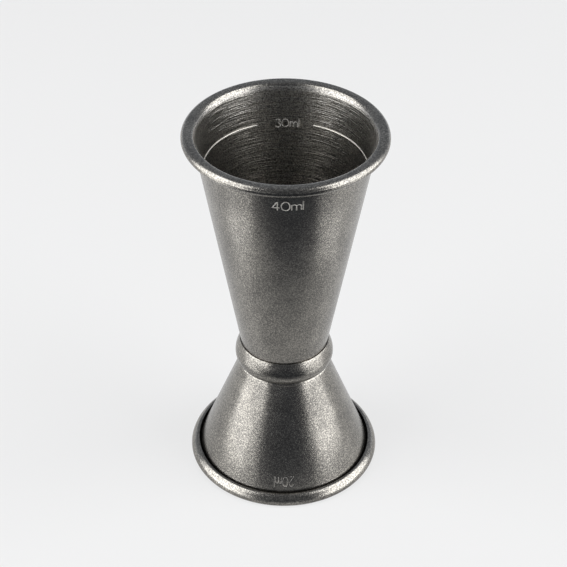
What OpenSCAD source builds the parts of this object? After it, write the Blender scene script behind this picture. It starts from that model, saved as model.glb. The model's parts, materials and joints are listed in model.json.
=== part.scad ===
// Double-ended measuring cup for a bar: two spun steel cones welded floor to floor inside
// a waist collar that their flaring walls trap. It stands on the rolled rim of the smaller
// cup, with its axis on Z and its foot at Z = 0. The cups' depths follow from their
// capacities. Lengths are in millimetres.

/* [Upper cup] */
// Brimful capacity of the upper cup, in millilitres
upper_capacity = 40; // [36:1:50]
// Inside diameter at which the upper cone meets the brim
upper_mouth_d = 39; // [37:0.1:40]
// Inside diameter at which the upper cone meets its floor
upper_floor_d = 17.2; // [15:0.1:19]

/* [Lower cup] */
// Brimful capacity of the lower cup, in millilitres
lower_capacity = 20; // [16:1:26]
// Inside diameter at which the lower cone meets the brim
lower_mouth_d = 40.5; // [38:0.1:41]
// Inside diameter at which the lower cone meets its floor
lower_floor_d = 19.1; // [17:0.1:20]

/* [Sheet] */
// Thickness of the steel sheet that both cups are spun from
sheet = 0.7; // [0.5:0.05:0.9]
// Inside radius of the bend between floor and wall
corner_r = 1.5; // [0.8:0.1:3]

/* [Rolled rims] */
// Outside diameter of both rolled rims
rim_d = 45; // [44:0.1:48]
// Width of the rolled edge, from the outside of the rim inward
curl_w = 2.4; // [2.2:0.1:3]
// Height of the upper cup's rolled edge
upper_curl_h = 2.4; // [2.2:0.1:3.4]
// Height of the lower cup's rolled edge
lower_curl_h = 3; // [2.2:0.1:3.4]
// Turn of the rolled edge past its furthest point from the brim, in degrees
curl_past = 15; // [0:1:40]
// Depth to which each rim is faced flat, so that it stands without rocking
rim_land = 0.05; // [0.02:0.01:0.1]

/* [Fill line] */
// Capacity at the line engraved inside the upper cup, in millilitres
line_capacity = 30; // [15:1:34]
// Width of the engraved line
line_w = 0.35; // [0.2:0.05:0.6]
// Depth of the engraved line
line_depth = 0.1; // [0.05:0.01:0.2]
// Length of wall left plain for the numerals, along the line
line_gap = 13; // [8:0.5:20]

/* [Waist collar] */
// Radial thickness of the collar at its crown
collar_wall = 1.27; // [0.9:0.01:2]
// Height of the collar
collar_h = 5.8; // [4:0.1:8]
// Radial width of the collar's flat end faces
collar_edge = 0.25; // [0.1:0.05:0.4]
// Radial clearance between the collar's bore and the cone that it seats on
collar_clearance = 0.04; // [0.02:0.01:0.1]

/* [Floor welds] */
// Number of weld nuggets
weld_count = 3; // [2:1:5]
// Diameter of a weld nugget
weld_d = 3; // [2:0.1:3.6]
// Diameter of the circle that the nuggets lie on
weld_circle_d = 8; // [7:0.1:9]
// Depth of fused metal in each floor
weld_depth = 0.3; // [0.1:0.05:0.35]
// Gap that the welds leave between the two floors
weld_gap = 0.1; // [0.05:0.01:0.2]
// Clearance between a nugget and the metal round it
weld_clearance = 0.005; // [0.002:0.001:0.01]

/* [Hidden] */
$fn = 96;
ARC_STEP = 6;
EVEN = [1, 1];
CUBIC_MM_PER_ML = 1000;
STEEL = "#77736d";
DARK_STEEL = "#615e5a";

// Depth of a cone of that capacity between two diameters
function cone_depth(capacity, mouth_d, floor_d) =
    12 * capacity * CUBIC_MM_PER_ML / (PI * (mouth_d^2 + mouth_d * floor_d + floor_d^2));
// Angle between a cone's wall and its axis
function cone_angle(mouth_d, floor_d, depth) = atan((mouth_d - floor_d) / 2 / depth);
// Height to which a cone that widens from its floor fills with that capacity
function fill_height(capacity, floor_d, angle) =
    ((floor_d^3 / 8 + 3 * capacity * CUBIC_MM_PER_ML * tan(angle) / PI)^(1 / 3) - floor_d / 2)
        / tan(angle);
// Points along an arc of a circle or an ellipse from one angle to another, about one step apart
function arc(centre, radii, from, to) =
    let (steps = ceil(abs(to - from) / ARC_STEP))
    [for (i = [0:steps]) let (a = from + (to - from) * i / steps)
        centre + [radii.x * cos(a), radii.y * sin(a)]];

upper_depth = cone_depth(upper_capacity, upper_mouth_d, upper_floor_d);
lower_depth = cone_depth(lower_capacity, lower_mouth_d, lower_floor_d);
upper_angle = cone_angle(upper_mouth_d, upper_floor_d, upper_depth);
lower_angle = cone_angle(lower_mouth_d, lower_floor_d, lower_depth);

// Heights of the two floors: the lower cup hangs mouth down from its floor
lower_floor_z = lower_depth;
upper_floor_z = lower_depth + 2 * sheet + weld_gap;
weld_z = lower_depth + sheet + weld_gap / 2;
weld_h = weld_gap + 2 * weld_depth;

// The collar is trapped where its bore meets both cones, one at each end
lower_brim_r = lower_mouth_d / 2 + sheet / cos(lower_angle);
upper_foot_r = upper_floor_d / 2 + sheet / cos(upper_angle);
collar_z = (lower_brim_r - upper_foot_r - tan(upper_angle) * (collar_h - upper_floor_z))
    / (tan(lower_angle) + tan(upper_angle));
collar_bore_r = lower_brim_r - tan(lower_angle) * collar_z + collar_clearance;
collar_r = collar_bore_r + collar_wall;

// Half section of a spun cup, mouth up, with its inside floor at zero. The inner face runs
// from the floor round the corner, up the wall and over the brim to the rolled edge, and the
// outer face runs back one sheet thickness away.
module cup_section(mouth_d, floor_d, depth, angle, curl_h) {
    crown_z = depth + rim_land;
    curl_radii = [curl_w, curl_h] / 2;
    curl = [rim_d / 2, crown_z] - curl_radii;
    brim_r = (curl.x - mouth_d / 2 - rim_land * tan(angle)) * cos(angle) / (1 - sin(angle));
    brim = [curl.x, crown_z - brim_r];
    corner = [floor_d / 2 - corner_r * (1 - sin(angle)) / cos(angle), corner_r];
    inner_face = concat(
        [[0, 0]],
        arc(corner, corner_r * EVEN, -90, -angle),
        arc(brim, brim_r * EVEN, 180 - angle, 180 - asin(1 - rim_land / brim_r)),
        arc(curl, curl_radii, asin(1 - rim_land / curl_radii.y), -90 - curl_past)
    );
    outer_face = concat(
        arc(curl, curl_radii - sheet * EVEN, -90 - curl_past, 90),
        arc(brim, (brim_r - sheet) * EVEN, 90 + ARC_STEP, 180 - angle),
        arc(corner, (corner_r + sheet) * EVEN, -angle, -90),
        [[0, -sheet]]
    );
    polygon(concat(inner_face, outer_face));
}

// Groove engraved round the inside of a cup at the height of a capacity,
// left out over the stretch that carries the numerals at the back
module fill_line(capacity, floor_d, angle) {
    line_z = fill_height(capacity, floor_d, angle);
    line_r = floor_d / 2 + line_z * tan(angle);
    gap_angle = line_gap / line_r * 180 / PI;
    rotate([0, 0, 90 + gap_angle / 2]) rotate_extrude(angle = 360 - gap_angle)
        translate([line_r, line_z]) rotate(-angle)
            translate([-line_depth, -line_w / 2]) square([2 * line_depth, line_w]);
}

// Weld nuggets on their circle, enlarged by a clearance
module nuggets(clearance) {
    for (i = [0:weld_count - 1])
        rotate([0, 0, 90 + 360 * i / weld_count])
            translate([weld_circle_d / 2, 0, weld_z])
                cylinder(d = weld_d + 2 * clearance, h = weld_h + 2 * clearance, center = true);
}

module upper_cup() {
    color(STEEL) difference() {
        translate([0, 0, upper_floor_z]) difference() {
            rotate_extrude()
                cup_section(
                    upper_mouth_d, upper_floor_d, upper_depth, upper_angle, upper_curl_h);
            fill_line(line_capacity, upper_floor_d, upper_angle);
        }
        nuggets(weld_clearance);
    }
}

module lower_cup() {
    color(STEEL) difference() {
        translate([0, 0, lower_floor_z]) mirror([0, 0, 1]) rotate_extrude()
            cup_section(lower_mouth_d, lower_floor_d, lower_depth, lower_angle, lower_curl_h);
        nuggets(weld_clearance);
    }
}

// Ring with a plain bore and a crowned outside
module waist_collar() {
    rise = collar_wall - collar_edge;
    crown_r = ((collar_h / 2)^2 + rise^2) / (2 * rise);
    color(STEEL) translate([0, 0, collar_z]) rotate_extrude() intersection() {
        translate([collar_bore_r, 0]) square([2 * collar_wall, collar_h]);
        translate([collar_r - crown_r, collar_h / 2]) circle(crown_r);
    }
}

module floor_welds() {
    color(DARK_STEEL) nuggets(0);
}

upper_cup();
lower_cup();
waist_collar();
floor_welds();
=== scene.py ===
import json
from math import asin, atan, cos, degrees, hypot, pi, radians, sin, tan

import bpy
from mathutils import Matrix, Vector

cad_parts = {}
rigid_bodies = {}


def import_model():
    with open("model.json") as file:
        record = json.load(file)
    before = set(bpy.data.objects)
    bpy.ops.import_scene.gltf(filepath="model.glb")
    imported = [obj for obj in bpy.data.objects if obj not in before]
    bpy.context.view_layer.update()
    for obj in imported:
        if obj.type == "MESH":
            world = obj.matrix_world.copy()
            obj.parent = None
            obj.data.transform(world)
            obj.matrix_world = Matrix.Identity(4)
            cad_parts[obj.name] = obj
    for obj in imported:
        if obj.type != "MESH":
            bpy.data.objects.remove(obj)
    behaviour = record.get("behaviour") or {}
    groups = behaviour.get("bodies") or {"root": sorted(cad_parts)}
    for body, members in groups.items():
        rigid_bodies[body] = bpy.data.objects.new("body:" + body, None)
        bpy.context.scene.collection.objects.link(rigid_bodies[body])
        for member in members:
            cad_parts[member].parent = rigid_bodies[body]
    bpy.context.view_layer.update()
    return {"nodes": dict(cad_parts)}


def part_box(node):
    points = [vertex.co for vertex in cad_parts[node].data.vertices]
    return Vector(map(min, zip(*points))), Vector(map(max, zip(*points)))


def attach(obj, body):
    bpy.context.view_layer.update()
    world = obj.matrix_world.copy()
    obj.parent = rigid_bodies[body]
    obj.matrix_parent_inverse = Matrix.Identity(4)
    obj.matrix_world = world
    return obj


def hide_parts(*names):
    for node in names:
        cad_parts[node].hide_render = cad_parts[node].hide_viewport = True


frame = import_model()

# Lower cup
# The 20 ml cone: one blank of stainless sheet spun over a former, with its edge rolled outward.
# It hangs mouth down from its floor, and the whole measure stands on its rolled rim.
MM = 0.001
SHEET = 0.7 * MM
CORNER_R = 1.5 * MM
LOWER_MOUTH_R = 20.25 * MM
LOWER_FLOOR_R = 9.55 * MM

# Brim: the crown is faced flat, and a land slopes from it to a small lip, where the flare begins.
# Turns and the steps along arcs are in degrees.
RIM_LAND = 0.05 * MM
LAND_SHARE = 0.55
LAND_TURN = 18
LAND_STEP = 3
LIP_R = 0.8 * MM
FLARE_TURN = 40
FLARE_STEP = 2

# Roll: the radius of each bend, and the angle that it ends at
LOWER_ROLL = ((0.8 * MM, -15), (3 * MM, -55), (0.8 * MM, -105))

# Mesh: the gap between rings along a straight wall, the steps round the axis, and what counts as one
# point and as a sharp edge
RING_GAP = 1.2 * MM
SPIN_STEPS = 192
SAME_POINT = 0.001 * MM
SHARP_EDGE = radians(35)


def linear(hex_colour):
    """Linear RGBA of an sRGB hex colour."""
    channels = [int(hex_colour[i:i + 2], 16) / 255 for i in (1, 3, 5)]
    return [c / 12.92 if c <= 0.04045 else ((c + 0.055) / 1.055) ** 2.4 for c in channels] + [1]


def add_node(tree, kind, settings=None, inputs=None):
    """Adds a node, sets its properties, and sets or links its inputs by name or number."""
    made = tree.nodes.new("ShaderNode" + kind)
    for name, value in (settings or {}).items():
        setattr(made, name, value)
    for socket, value in (inputs or {}).items():
        if isinstance(value, bpy.types.NodeSocket):
            tree.links.new(value, made.inputs[socket])
        else:
            made.inputs[socket].default_value = value
    return made


def arc(centre, radii, start, end, step=6):
    """Points along an arc of an ellipse between two angles in degrees."""
    count = max(1, round(abs(end - start) / step))
    angles = [radians(start + (end - start) * i / count) for i in range(count + 1)]
    return [(centre[0] + radii[0] * cos(a), centre[1] + radii[1] * sin(a)) for a in angles]


def line(start, end, step):
    """Points along a straight line, about one step apart."""
    count = max(1, round(hypot(end[0] - start[0], end[1] - start[1]) / step))
    return [
        (start[0] + (end[0] - start[0]) * i / count, start[1] + (end[1] - start[1]) * i / count)
        for i in range(count + 1)
    ]


def inward(point, turn, distance):
    """Point at a distance from another, in a direction turned from straight up towards the axis."""
    return (point[0] - distance * sin(radians(turn)), point[1] + distance * cos(radians(turn)))


def rolled_edge(crown, roll):
    """Rolled edge from its faced crown on, in arcs given by their radii and the angles they end at."""
    last_r = roll[0][0]
    place = inward(crown, 0, -last_r)
    angle = degrees(asin(1 - RIM_LAND / last_r))
    points = []
    for bend_r, end in roll:
        place = inward(place, angle - 90, last_r - bend_r)
        points = points[:-1] + arc(place, (bend_r, bend_r), angle, end)
        last_r = bend_r
        angle = end
    return points


def inner_face(mouth_r, floor_r, depth, rim_r, roll):
    """Half section of a cup's inner face, mouth up: floor, corner, wall, flare, lip, land and roll."""
    slope = atan((mouth_r - floor_r) / depth)
    corner_x = floor_r - CORNER_R * (1 - sin(slope)) / cos(slope)
    corner = arc((corner_x, CORNER_R), (CORNER_R, CORNER_R), -90, -degrees(slope))
    floor = line((0, 0), corner[0], RING_GAP)
    crown = (rim_r - roll[0][0], depth + RIM_LAND)
    land_r = LAND_SHARE * (crown[0] - mouth_r) / sin(radians(LAND_TURN))
    land_end = 180 - degrees(asin(1 - RIM_LAND / land_r))
    land = arc(inward(crown, 0, -land_r), (land_r, land_r), 90 + LAND_TURN, land_end, LAND_STEP)
    lip_place = inward(land[0], LAND_TURN, -LIP_R)
    lip = arc(lip_place, (LIP_R, LIP_R), 90 + FLARE_TURN, 90 + LAND_TURN)
    reach = lip[0][0] - mouth_r + (depth - lip[0][1]) * tan(slope)
    turn = radians(FLARE_TURN)
    flare_r = reach / (cos(slope) - sin(turn) + (sin(slope) - cos(turn)) * tan(slope))
    flare_place = inward(lip[0], FLARE_TURN, -flare_r)
    flare = arc(flare_place, (flare_r, flare_r), 180 - degrees(slope), 90 + FLARE_TURN, FLARE_STEP)
    wall = line(corner[-1], flare[0], RING_GAP)
    inside = floor[:-1] + corner + wall[1:-1] + flare[:-1] + lip[:-1] + land
    return inside + rolled_edge(crown, roll)


def draw_path(points):
    """In edit mode, adds one vertex and extrudes it along a path, which stays selected."""
    bpy.ops.mesh.select_all(action="DESELECT")
    bpy.ops.mesh.primitive_plane_add(size=MM)
    bpy.ops.mesh.merge(type="CENTER")
    bpy.ops.transform.translate(value=points[0])
    for here, there in zip(points, points[1:]):
        step = [b - a for a, b in zip(here, there)]
        bpy.ops.mesh.extrude_vertices_move(TRANSFORM_OT_translate={"value": step})
    bpy.ops.mesh.select_linked()


def empty_mesh(name):
    """An object at the origin with an empty mesh, in edit mode."""
    bpy.ops.object.select_all(action="DESELECT")
    bpy.ops.mesh.primitive_plane_add(size=MM)
    made = bpy.context.object
    made.name = name
    made.data.name = name
    bpy.ops.object.mode_set(mode="EDIT")
    bpy.ops.mesh.delete(type="VERT")
    return made


def spin_section(name, half_section):
    """Spins a half section, given as radii and heights, round the Z axis."""
    made = empty_mesh(name)
    draw_path([(r, 0, z) for r, z in half_section])
    bpy.ops.mesh.spin(steps=SPIN_STEPS, angle=2 * pi, center=(0, 0, 0), axis=(0, 0, 1))
    bpy.ops.mesh.select_all(action="SELECT")
    bpy.ops.mesh.remove_doubles(threshold=SAME_POINT)
    bpy.ops.mesh.normals_make_consistent(inside=False)
    bpy.ops.object.mode_set(mode="OBJECT")
    return made


def apply_modifier(piece, kind, **settings):
    """Adds a modifier to a piece and applies it."""
    modifier = piece.modifiers.new(kind.title(), kind)
    for name, value in settings.items():
        setattr(modifier, name, value)
    bpy.context.view_layer.objects.active = piece
    bpy.ops.object.modifier_apply(modifier=modifier.name)


def smooth(piece):
    """Shades a piece smooth except at its sharp edges."""
    bpy.ops.object.select_all(action="DESELECT")
    piece.select_set(True)
    bpy.context.view_layer.objects.active = piece
    bpy.ops.object.shade_smooth_by_angle(angle=SHARP_EDGE)


def start_metal(name, roughness):
    """A new metal of even roughness, with its nodes, its shader and the place on the piece."""
    metal = bpy.data.materials.new(name)
    metal.use_nodes = True
    tree = metal.node_tree
    shader = tree.nodes["Principled BSDF"]
    shader.inputs["Metallic"].default_value = 1
    shader.inputs["Roughness"].default_value = roughness
    return metal, tree, shader, add_node(tree, "TexCoord").outputs["Object"]


# Stainless steel tumbled with stones and darkened: a dull dark satin, with fine bright and dark
# specks where the stones struck and broad faint clouds between. Most real specks are too fine to
# show, so they are drawn coarser.
SPECK = 0.3 * MM
SPECK_DENT = 0.15 * MM
CLOUD = 6 * MM
stonewashed, tree, shader, place = start_metal("stonewashed_stainless_steel", 0.25)
specks = add_node(tree, "TexNoise", inputs={
    "Vector": place, "Scale": 1 / SPECK, "Detail": 2, "Roughness": 0.6})
clouds = add_node(tree, "TexNoise", inputs={
    "Vector": place, "Scale": 1 / CLOUD, "Detail": 3, "Roughness": 0.55})
struck = add_node(tree, "MapRange", inputs={
    "Value": specks.outputs["Fac"], "From Min": 0.4, "From Max": 0.72})
clouded = add_node(tree, "MapRange", inputs={
    "Value": clouds.outputs["Fac"], "From Min": 0.3, "From Max": 0.7,
    "To Min": -0.15, "To Max": 0.15})
tone = add_node(tree, "Math", {"operation": "ADD", "use_clamp": True}, {
    0: struck.outputs[0], 1: clouded.outputs[0]})
# Inputs 6 and 7 of a Mix node are its two colours, and its output 2 is their mix
colour = add_node(tree, "Mix", {"data_type": "RGBA"}, {
    "Factor": tone.outputs[0], 6: linear("#696764"), 7: linear("#b1ada5")})
dents = add_node(tree, "Bump", inputs={
    "Height": specks.outputs["Fac"], "Strength": 0.12, "Distance": SPECK_DENT})
tree.links.new(colour.outputs[2], shader.inputs["Base Color"])
tree.links.new(dents.outputs[0], shader.inputs["Normal"])

# The same steel inside the cups, with fine rings that the spinning tool left under the specks, so
# a highlight shows as a stack of short thin light and dark lines. Real rings lie closer, and are
# drawn coarser so that they show.
RING_PITCH = 0.17 * MM
RING_LENGTH = 4.5 * MM
RING_CUT = 0.17 * MM
turned, tree, shader, place = start_metal("turned_stainless_steel", 0.3)
stretched = add_node(tree, "Mapping", inputs={
    "Vector": place, "Scale": (1 / RING_LENGTH, 1 / RING_LENGTH, 1 / RING_PITCH)})
rings = add_node(tree, "TexNoise", inputs={
    "Vector": stretched.outputs[0], "Scale": 1, "Detail": 0})
specks = add_node(tree, "TexNoise", inputs={
    "Vector": place, "Scale": 1 / SPECK, "Detail": 1, "Roughness": 0.6})
struck = add_node(tree, "MapRange", inputs={
    "Value": specks.outputs["Fac"], "From Min": 0.35, "From Max": 0.65})
colour = add_node(tree, "Mix", {"data_type": "RGBA"}, {
    "Factor": struck.outputs[0], 6: linear("#6d6b69"), 7: linear("#b5b2ac")})
cut_rings = add_node(tree, "Bump", inputs={
    "Height": rings.outputs["Fac"], "Strength": 0.42, "Distance": RING_CUT})
tree.links.new(colour.outputs[2], shader.inputs["Base Color"])
tree.links.new(cut_rings.outputs[0], shader.inputs["Normal"])

# Steel laid bare in the letters by a laser: a matte pale grey that shows alike from any side. Its
# frosting is drawn coarser than it is, so that it shows.
FROST = 0.2 * MM
etched, tree, shader, place = start_metal("etched_stainless_steel", 0.7)
frosting = add_node(tree, "TexNoise", inputs={"Vector": place, "Scale": 1 / FROST, "Detail": 1})
colour = add_node(tree, "Mix", {"data_type": "RGBA"}, {
    "Factor": frosting.outputs["Fac"], 6: linear("#c0bdb8"), 7: linear("#dedbd6")})
tree.links.new(colour.outputs[2], shader.inputs["Base Color"])

lowest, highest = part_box("lower_cup")
lower_floor_z = highest.z - SHEET
lower_depth = lower_floor_z - lowest.z
lower_slope = atan((LOWER_MOUTH_R - LOWER_FLOOR_R) / lower_depth)
section = inner_face(LOWER_MOUTH_R, LOWER_FLOOR_R, lower_depth, highest.x, LOWER_ROLL)
lower_cup = spin_section("spun_lower_cup", [(r, lower_floor_z - z) for r, z in section])
for finish in (turned, stonewashed, etched):
    lower_cup.data.materials.append(finish)

# The outside finish is the second in a cup's list, and starts this far out from the mouth, on the brim
OUTSIDE_FINISH = 1
FINISH_PAST_MOUTH = 0.2 * MM


def thicken(cup, up, mouth_r):
    """Gives a spun cup its sheet thickness outside, and the outside finish from its mouth on.

    up is 1 for a cup with its mouth up, and -1 for one with its mouth down.
    """
    floor = min(cup.data.polygons, key=lambda face: face.center.xy.length)
    if floor.normal.z * up < 0:
        bpy.ops.object.mode_set(mode="EDIT")
        bpy.ops.mesh.select_all(action="SELECT")
        bpy.ops.mesh.flip_normals()
        bpy.ops.object.mode_set(mode="OBJECT")
    apply_modifier(
        cup, "SOLIDIFY", thickness=SHEET, offset=-1, use_even_offset=True,
        material_offset=OUTSIDE_FINISH, material_offset_rim=OUTSIDE_FINISH)
    for face in cup.data.polygons:
        if face.center.xy.length > mouth_r + FINISH_PAST_MOUTH:
            face.material_index = OUTSIDE_FINISH


thicken(lower_cup, -1, LOWER_MOUTH_R)

# Marks: the measures in plain single strokes, each drawn in a box one unit high. Each letter has its
# width and its strokes.
CUTTER_R = 0.13 * MM
STROKE_STEP = 0.1
STROKE_TURN = 15
STROKES = {
    "0": (0.74, [arc((0.37, 0.5), (0.37, 0.5), 90, 450, STROKE_TURN)]),
    "2": (0.58, [
        arc((0.28, 0.72), (0.28, 0.28), 165, -40, STROKE_TURN)
        + line((0.4, 0.42), (0, 0), STROKE_STEP)
        + line((0, 0), (0.58, 0), STROKE_STEP)[1:]]),
    "3": (0.56, [
        arc((0.26, 0.76), (0.25, 0.24), 160, -90, STROKE_TURN)
        + arc((0.26, 0.26), (0.3, 0.26), 90, -160, STROKE_TURN)[1:]]),
    "4": (0.64, [
        line((0.45, 0), (0.45, 1), STROKE_STEP),
        line((0.4, 0.96), (0, 0.3), STROKE_STEP)
        + line((0, 0.3), (0.64, 0.3), STROKE_STEP)[1:]]),
    "m": (0.84, [
        line((0, 0), (0, 0.66), STROKE_STEP),
        arc((0.21, 0.44), (0.21, 0.22), 180, 0, STROKE_TURN)
        + line((0.42, 0.44), (0.42, 0), STROKE_STEP)[1:],
        arc((0.63, 0.44), (0.21, 0.22), 180, 0, STROKE_TURN)
        + line((0.84, 0.44), (0.84, 0), STROKE_STEP)[1:]]),
    "l": (0, [line((0, 0), (0, 1.04), STROKE_STEP)]),
}
LETTER_GAP = 0.15


def written(text, height, stretch=1):
    """Strokes of a text of that height, centred on its width, and stretched across or narrowed."""
    width = sum(STROKES[letter][0] for letter in text) + LETTER_GAP * (len(text) - 1)
    left = -width / 2
    strokes = []
    for letter in text:
        wide, drawn = STROKES[letter]
        strokes += [[((left + x) * height * stretch, y * height) for x, y in stroke] for stroke in drawn]
        left += wide + LETTER_GAP
    return strokes


def engrave(cup, path, cutter_r=CUTTER_R, finish=etched):
    """Cuts a round-bottomed groove into a cup along the path of the cutter's centre."""
    empty_mesh("cutter")
    draw_path(path)
    bpy.ops.mesh.remove_doubles(threshold=SAME_POINT)
    bpy.ops.object.mode_set(mode="OBJECT")
    bpy.ops.object.convert(target="CURVE")
    cutter = bpy.context.object
    cutter.data.bevel_depth = cutter_r
    cutter.data.bevel_resolution = 3
    cutter.data.use_fill_caps = True
    bpy.ops.object.convert(target="MESH")
    cutter = bpy.context.object
    bpy.ops.object.mode_set(mode="EDIT")
    bpy.ops.mesh.select_all(action="SELECT")
    bpy.ops.mesh.remove_doubles(threshold=SAME_POINT)
    bpy.ops.mesh.normals_make_consistent(inside=False)
    bpy.ops.object.mode_set(mode="OBJECT")
    cutter.data.materials.clear()
    cutter.data.materials.append(finish)
    apply_modifier(
        cup, "BOOLEAN", object=cutter, operation="DIFFERENCE", solver="MANIFOLD",
        material_mode="TRANSFER")
    bpy.data.objects.remove(cutter)


# The lower cup's mark reads the right way up when the measure is turned over. It is worn faint.
LOWER_MARK_H = 2.5 * MM
LOWER_MARK_STRETCH = 0.7
LOWER_MARK_TOP_Z = 6.1 * MM
LOWER_MARK_X = 0.1 * MM
LOWER_MARK_CUT = 0.008 * MM


def on_lower_front(across, up):
    """Cutter's place outside the lower cup at the front, for a faint mark that reads upside down."""
    z = LOWER_MARK_TOP_Z - up * cos(lower_slope)
    wall_r = LOWER_FLOOR_R + (lower_floor_z - z) * tan(lower_slope)
    r = wall_r + (SHEET + CUTTER_R - LOWER_MARK_CUT) / cos(lower_slope)
    angle = (LOWER_MARK_X - across) / r
    return (r * sin(angle), -r * cos(angle), z)


for stroke in written("20ml", LOWER_MARK_H, LOWER_MARK_STRETCH):
    engrave(lower_cup, [on_lower_front(x, y) for x, y in stroke])
smooth(lower_cup)
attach(lower_cup, "root")
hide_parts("lower_cup")

# Floor welds
# Three spot welds hold the two floors together. They are hidden between the floors.
# Metal that melted and froze between the electrodes is left dull, with a patchy heat tint.
HEAT_TINT = 1.5 * MM
fused, tree, shader, place = start_metal("spot_welded_steel", 0.55)
tint = add_node(tree, "TexNoise", inputs={"Vector": place, "Scale": 1 / HEAT_TINT, "Detail": 3})
colour = add_node(tree, "Mix", {"data_type": "RGBA"}, {
    "Factor": tint.outputs["Fac"], 6: linear("#4d4a4d"), 7: linear("#857a6c")})
tree.links.new(colour.outputs[2], shader.inputs["Base Color"])
welds = frame["nodes"]["floor_welds"]
welds.data.materials.clear()
welds.data.materials.append(fused)

# Upper cup
# The 40 ml cone, spun from the same sheet as the lower cup and welded to it floor to floor. A
# line is engraved round its inside at 30 ml, with a gap at the back for the figures.
UPPER_MOUTH_R = 19.5 * MM
UPPER_FLOOR_R = 8.6 * MM
UPPER_ROLL = ((1.2 * MM, -105),)

# Steel freshly cut by a turning tool in the fill line: bright, with faint uneven marks of the tool
# that are drawn coarser than they are.
TOOL_MARK = 0.2 * MM
grooved, tree, shader, place = start_metal("grooved_stainless_steel", 0.42)
tool_marks = add_node(tree, "TexNoise", inputs={"Vector": place, "Scale": 1 / TOOL_MARK, "Detail": 1})
colour = add_node(tree, "Mix", {"data_type": "RGBA"}, {
    "Factor": tool_marks.outputs["Fac"], 6: linear("#c0bdb6"), 7: linear("#e0ddd6")})
tree.links.new(colour.outputs[2], shader.inputs["Base Color"])

lowest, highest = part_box("upper_cup")
upper_floor_z = lowest.z + SHEET
upper_depth = highest.z - upper_floor_z
upper_slope = atan((UPPER_MOUTH_R - UPPER_FLOOR_R) / upper_depth)
section = inner_face(UPPER_MOUTH_R, UPPER_FLOOR_R, upper_depth, highest.x, UPPER_ROLL)
upper_cup = spin_section("spun_upper_cup", [(r, upper_floor_z + z) for r, z in section])
for finish in (turned, stonewashed, etched, grooved):
    upper_cup.data.materials.append(finish)
thicken(upper_cup, 1, UPPER_MOUTH_R)

# The mark outside at the front, the mark inside at the back, and the fill line, which starts and stops
# on either side of the inner mark. The line lies where the volume, in cubic metres, is reached.
UPPER_MARK_H = 2.45 * MM
UPPER_MARK_Z = 82.9 * MM
UPPER_MARK_X = 0.5 * MM
UPPER_MARK_CUT = 0.08 * MM
INNER_MARK_H = 1.85 * MM
INNER_MARK_STRETCH = 1.08
INNER_MARK_Z = 80.3 * MM
INNER_MARK_X = 0.35 * MM
INNER_MARK_CUT = 0.035 * MM
INNER_CUTTER_R = 0.22 * MM
FILL_VOLUME = 30e-6
FILL_START = 6.3 * MM
FILL_STOP = 6.9 * MM
FILL_STEP = 0.7 * MM
FILL_CUT = 0.15 * MM


def on_upper_front(across, up):
    """Cutter's place outside the upper cup at the front."""
    z = UPPER_MARK_Z + up * cos(upper_slope)
    wall_r = UPPER_FLOOR_R + (z - upper_floor_z) * tan(upper_slope)
    r = wall_r + (SHEET + CUTTER_R - UPPER_MARK_CUT) / cos(upper_slope)
    angle = (UPPER_MARK_X + across) / r
    return (r * sin(angle), -r * cos(angle), z)


def on_upper_inside(across, z, cut):
    """Cutter's place inside the upper cup, at a distance round from the back."""
    wall_r = UPPER_FLOOR_R + (z - upper_floor_z) * tan(upper_slope)
    r = wall_r - (INNER_CUTTER_R - cut) / cos(upper_slope)
    angle = across / r
    return (r * sin(angle), r * cos(angle), z)


fill_r = (UPPER_FLOOR_R ** 3 + 3 * FILL_VOLUME * tan(upper_slope) / pi) ** (1 / 3)
fill_z = upper_floor_z + (fill_r - UPPER_FLOOR_R) / tan(upper_slope)
fill_line = line((FILL_START, fill_z), (2 * pi * fill_r - FILL_STOP, fill_z), FILL_STEP)
engrave(upper_cup, [on_upper_inside(x, z, FILL_CUT) for x, z in fill_line], INNER_CUTTER_R, grooved)
for stroke in written("30ml", INNER_MARK_H, INNER_MARK_STRETCH):
    drawn = [(INNER_MARK_X + x, INNER_MARK_Z + y * cos(upper_slope)) for x, y in stroke]
    engrave(upper_cup, [on_upper_inside(x, z, INNER_MARK_CUT) for x, z in drawn], INNER_CUTTER_R)
for stroke in written("40ml", UPPER_MARK_H):
    engrave(upper_cup, [on_upper_front(x, y) for x, y in stroke])
smooth(upper_cup)
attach(upper_cup, "root")
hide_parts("upper_cup")

# Waist collar
# A crowned ring turned from stainless bar, slipped over the joint before the cups are welded and
# trapped between their flaring walls. It is tumbled with the cups, so its finish is the same.
COLLAR_BORE_R = 10.185 * MM

# Its widest circle lies below its middle. A flank leans in above it, and the underside below it.
BELLY_SHARE = 0.36
BELLY_R = 5 * MM
BELLY_STEP = 3
UNDER_TURN = 45
FLANK_TURN = 16
FLANK_STEP = 1.5
TOP_TURN = 25
EDGE_R = 0.08 * MM
EDGE_STEP = 15

# Its bevelled foot, as distances out from the bore and down from the crowned part
FOOT = ((0.365 * MM, 0.77 * MM), (0.435 * MM, 0.56 * MM), (0.145 * MM, 0.19 * MM))

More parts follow.
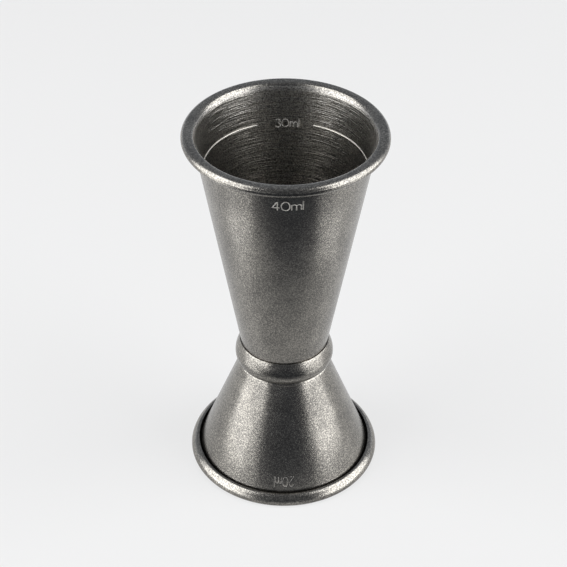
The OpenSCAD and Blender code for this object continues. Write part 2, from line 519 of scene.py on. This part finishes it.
lowest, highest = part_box("waist_collar")
belly_h = BELLY_SHARE * (highest.z - lowest.z)
belly_z = lowest.z + belly_h
under_r = belly_h / sin(radians(UNDER_TURN))
under = arc((highest.x - under_r, belly_z), (under_r, under_r), -UNDER_TURN, 0)
belly = arc((highest.x - BELLY_R, belly_z), (BELLY_R, BELLY_R), 0, FLANK_TURN, BELLY_STEP)
edge_z = highest.z - EDGE_R
flank_top_z = edge_z + EDGE_R * sin(radians(TOP_TURN))
flank_r = (flank_top_z - belly[-1][1]) / (sin(radians(TOP_TURN)) - sin(radians(FLANK_TURN)))
flank_place = inward(belly[-1], FLANK_TURN - 90, -flank_r)
flank = arc(flank_place, (flank_r, flank_r), FLANK_TURN, TOP_TURN, FLANK_STEP)
outer_edge_place = inward(flank[-1], TOP_TURN - 90, -EDGE_R)
outer_edge = arc(outer_edge_place, (EDGE_R, EDGE_R), TOP_TURN, 90, EDGE_STEP)
inner_edge = arc((COLLAR_BORE_R + EDGE_R, edge_z), (EDGE_R, EDGE_R), 90, 180, EDGE_STEP)
foot = [(COLLAR_BORE_R + out, lowest.z - down) for out, down in FOOT]
bore = line(inner_edge[-1], (COLLAR_BORE_R, lowest.z), RING_GAP)
outside = under + belly[1:] + flank[1:] + outer_edge[1:]
collar = spin_section("turned_waist_collar", outside + inner_edge + bore[1:] + foot + under[:1])
collar.data.materials.append(stonewashed)
smooth(collar)
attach(collar, "root")
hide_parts("waist_collar")

# Floor
# A plain sweep of pale paper that the measure stands on. The camera and reflections see most of its
# paleness as its own, and the rest as light that falls on it, so it keeps the measure's shadow.
FLOOR_SIZE = 20
PAPER_GLOW = 0.8
bpy.ops.object.select_all(action="DESELECT")
bpy.ops.mesh.primitive_plane_add(size=FLOOR_SIZE)
ground = bpy.context.object
ground.name = "studio_floor"
paper = bpy.data.materials.new("pale_paper")
paper.use_nodes = True
tree = paper.node_tree
tree.nodes.remove(tree.nodes["Principled BSDF"])
ray = add_node(tree, "LightPath")
seen = add_node(tree, "Math", {"operation": "MAXIMUM"}, {
    0: ray.outputs["Is Camera Ray"], 1: ray.outputs["Is Glossy Ray"]})
seen = add_node(tree, "Math", {"operation": "MAXIMUM"}, {
    0: seen.outputs[0], 1: ray.outputs["Is Transmission Ray"]})
share = add_node(tree, "Math", {"operation": "MULTIPLY"}, {0: seen.outputs[0], 1: PAPER_GLOW})
lit = add_node(tree, "BsdfDiffuse", inputs={"Color": linear("#f0f0f0")})
pale = add_node(tree, "Emission", inputs={"Color": linear("#eaeaea"), "Strength": 1})
both = add_node(tree, "MixShader", inputs={
    0: share.outputs[0], 1: lit.outputs[0], 2: pale.outputs[0]})
tree.links.new(both.outputs[0], tree.nodes["Material Output"].inputs["Surface"])
ground.data.materials.append(paper)

# Flag
# A dark card lies on the floor in front, partly clear near the measure and solid further out. It gives
# the cones their dark front, and only reflections see it. Its part-dark stretch near the measure is a
# painted shadow of the measure on the floor, as the cones reflect it.
FLAG_NEAR = 0.018
FLAG_CLEAR = 0.034
FLAG_DARK = 0.067
FLAG_FAR = 3
FLAG_HALF = 0.4
FLAG_UP = 0.5 * MM
FLAG_TURN = 9
# Density of the card near the measure: a painted shadow of the measure on the floor, seen only in
# reflections
FLAG_PAINTED_SHADOW_DENSITY = 0.3
bpy.ops.object.select_all(action="DESELECT")
bpy.ops.mesh.primitive_plane_add(size=1)
flag = bpy.context.object
flag.name = "studio_flag"
bpy.ops.object.mode_set(mode="EDIT")
bpy.ops.transform.resize(value=(2 * FLAG_HALF, FLAG_FAR - FLAG_NEAR, 1))
bpy.ops.transform.translate(value=(0, -(FLAG_FAR + FLAG_NEAR) / 2, FLAG_UP))
bpy.ops.object.mode_set(mode="OBJECT")
card = bpy.data.materials.new("dark_card")
card.use_nodes = True
tree = card.node_tree
tree.nodes.remove(tree.nodes["Principled BSDF"])
place = add_node(tree, "TexCoord").outputs["Object"]
ahead = add_node(tree, "SeparateXYZ", inputs={"Vector": place})
# Near the measure the card keeps a part density, which paints the measure's shadow into the reflections
density = add_node(tree, "MapRange", {"interpolation_type": "SMOOTHSTEP"}, {
    "Value": ahead.outputs["Y"], "From Min": -FLAG_CLEAR, "From Max": -FLAG_DARK,
    "To Min": FLAG_PAINTED_SHADOW_DENSITY})
clear = add_node(tree, "BsdfTransparent")
dark = add_node(tree, "Emission", inputs={"Color": linear("#45494f")})
both = add_node(tree, "MixShader", inputs={
    0: density.outputs[0], 1: clear.outputs[0], 2: dark.outputs[0]})
tree.links.new(both.outputs[0], tree.nodes["Material Output"].inputs["Surface"])
flag.data.materials.append(card)
flag.rotation_euler.z = radians(FLAG_TURN)
flag.visible_camera = False
flag.visible_diffuse = False
flag.visible_shadow = False

# Light
# Two tall softboxes stand left and right, each with a lit panel on the floor before it and a low
# strip beside the measure's foot. A softbox is dimmer at its foot and narrower above. The room is
# dim in front and lighter behind, with a bright backdrop low down.
SOFTBOX_AWAY = 0.5

# Bands of a softbox, from the floor up. Turns are in degrees round from the front, and the lean turns
# the pair of softboxes a little to one side.
RIG_LEAN = 3
SOFTBOX_BANDS = (
    {"low": 0, "high": 0.06, "turn": 74, "wide": 0.67, "radiance": 2.5},
    {"low": 0.06, "high": 0.2, "turn": 74, "wide": 0.67, "radiance": 3},
    {"low": 0.2, "high": 1.1, "turn": 77.5, "wide": 0.585, "radiance": 3},
)
PANEL_NEAR = 0.11
PANEL_FAR = 0.45
PANEL_FRONT = 0.12
PANEL_UP = 1 * MM
PANEL_RADIANCE = 1.5
STRIP_TURN = 68
STRIP_AWAY = 0.07
STRIP_WIDE = 0.05
STRIP_TALL = 0.008
STRIP_UP = 1 * MM
STRIP_RADIANCE = 1.9

# Blender takes the radiance of a rectangular lamp as its energy over four times its area
LAMP_SPREAD = 4


def add_lamp(name, place, turn, size, radiance):
    """Adds a rectangular lamp that the camera doesn't see, of that radiance over its face."""
    bpy.ops.object.light_add(type="AREA", location=place, rotation=turn)
    lamp = bpy.context.object
    lamp.name = name
    lamp.data.shape = "RECTANGLE"
    lamp.data.size = size[0]
    lamp.data.size_y = size[1]
    lamp.data.energy = LAMP_SPREAD * radiance * size[0] * size[1]
    lamp.visible_camera = False
    return lamp


for side, side_name in ((-1, "left"), (1, "right")):
    for band in SOFTBOX_BANDS:
        turn = radians(band["turn"] + side * RIG_LEAN)
        middle_z = (band["low"] + band["high"]) / 2
        place = (side * SOFTBOX_AWAY * sin(turn), -SOFTBOX_AWAY * cos(turn), middle_z)
        add_lamp(
            "softbox_" + side_name, place, (pi / 2, 0, side * turn),
            (band["wide"], band["high"] - band["low"]), band["radiance"])
    place = (side * (PANEL_NEAR + PANEL_FAR) / 2, -PANEL_FRONT / 2, PANEL_UP)
    add_lamp(
        "floor_panel_" + side_name, place, (pi, 0, 0),
        (PANEL_FAR - PANEL_NEAR, PANEL_FRONT), PANEL_RADIANCE)
    turn = radians(STRIP_TURN)
    middle_z = STRIP_UP + STRIP_TALL / 2
    place = (side * STRIP_AWAY * sin(turn), -STRIP_AWAY * cos(turn), middle_z)
    strip = add_lamp(
        "foot_strip_" + side_name, place, (pi / 2, 0, side * turn),
        (STRIP_WIDE, STRIP_TALL), STRIP_RADIANCE)
    strip.visible_diffuse = False

ROOM_FRONT = 0.15
ROOM_BACK = 0.42
BACKDROP = 1.1
BACKDROP_TOP = 0.17
world = bpy.data.worlds.new("dim_studio")
bpy.context.scene.world = world
world.use_nodes = True
tree = world.node_tree
direction = add_node(tree, "TexCoord").outputs["Generated"]
toward = add_node(tree, "SeparateXYZ", inputs={"Vector": direction})
room = add_node(tree, "MapRange", inputs={
    "Value": toward.outputs["Y"], "From Min": -0.45, "From Max": 0.55,
    "To Min": ROOM_FRONT, "To Max": ROOM_BACK})
behind = add_node(tree, "MapRange", inputs={
    "Value": toward.outputs["Y"], "From Min": 0.1, "From Max": 0.5})
backdrop = add_node(tree, "MapRange", inputs={
    "Value": toward.outputs["Z"], "From Min": 0, "From Max": BACKDROP_TOP,
    "To Min": BACKDROP, "To Max": 0})
level = add_node(tree, "Math", {"operation": "MULTIPLY_ADD"}, {
    0: behind.outputs[0], 1: backdrop.outputs[0], 2: room.outputs[0]})
tree.links.new(level.outputs[0], tree.nodes["Background"].inputs["Strength"])
tree.nodes["Background"].inputs["Color"].default_value = linear("#ecf2fc")

# Camera
# It looks down on the measure from the front, from about 40 cm away, through a long lens. Its place,
# tilt and roll were fitted to the outline of the measure in the photo.
CAMERA_PLACE = (-0.27 * MM, -303.3 * MM, 283.91 * MM)
CAMERA_DOWN = 37.733
CAMERA_ROLL = 0.36
SENSOR_WIDE = 36
LENS = 106.667
bpy.ops.object.camera_add(location=CAMERA_PLACE)
camera = bpy.context.object
camera.rotation_euler = (radians(90 - CAMERA_DOWN), 0, 0)
camera.rotation_euler.rotate_axis("Z", radians(CAMERA_ROLL))
camera.data.sensor_width = SENSOR_WIDE
camera.data.lens = LENS
bpy.context.scene.camera = camera
bpy.context.scene.view_settings.view_transform = "Standard"
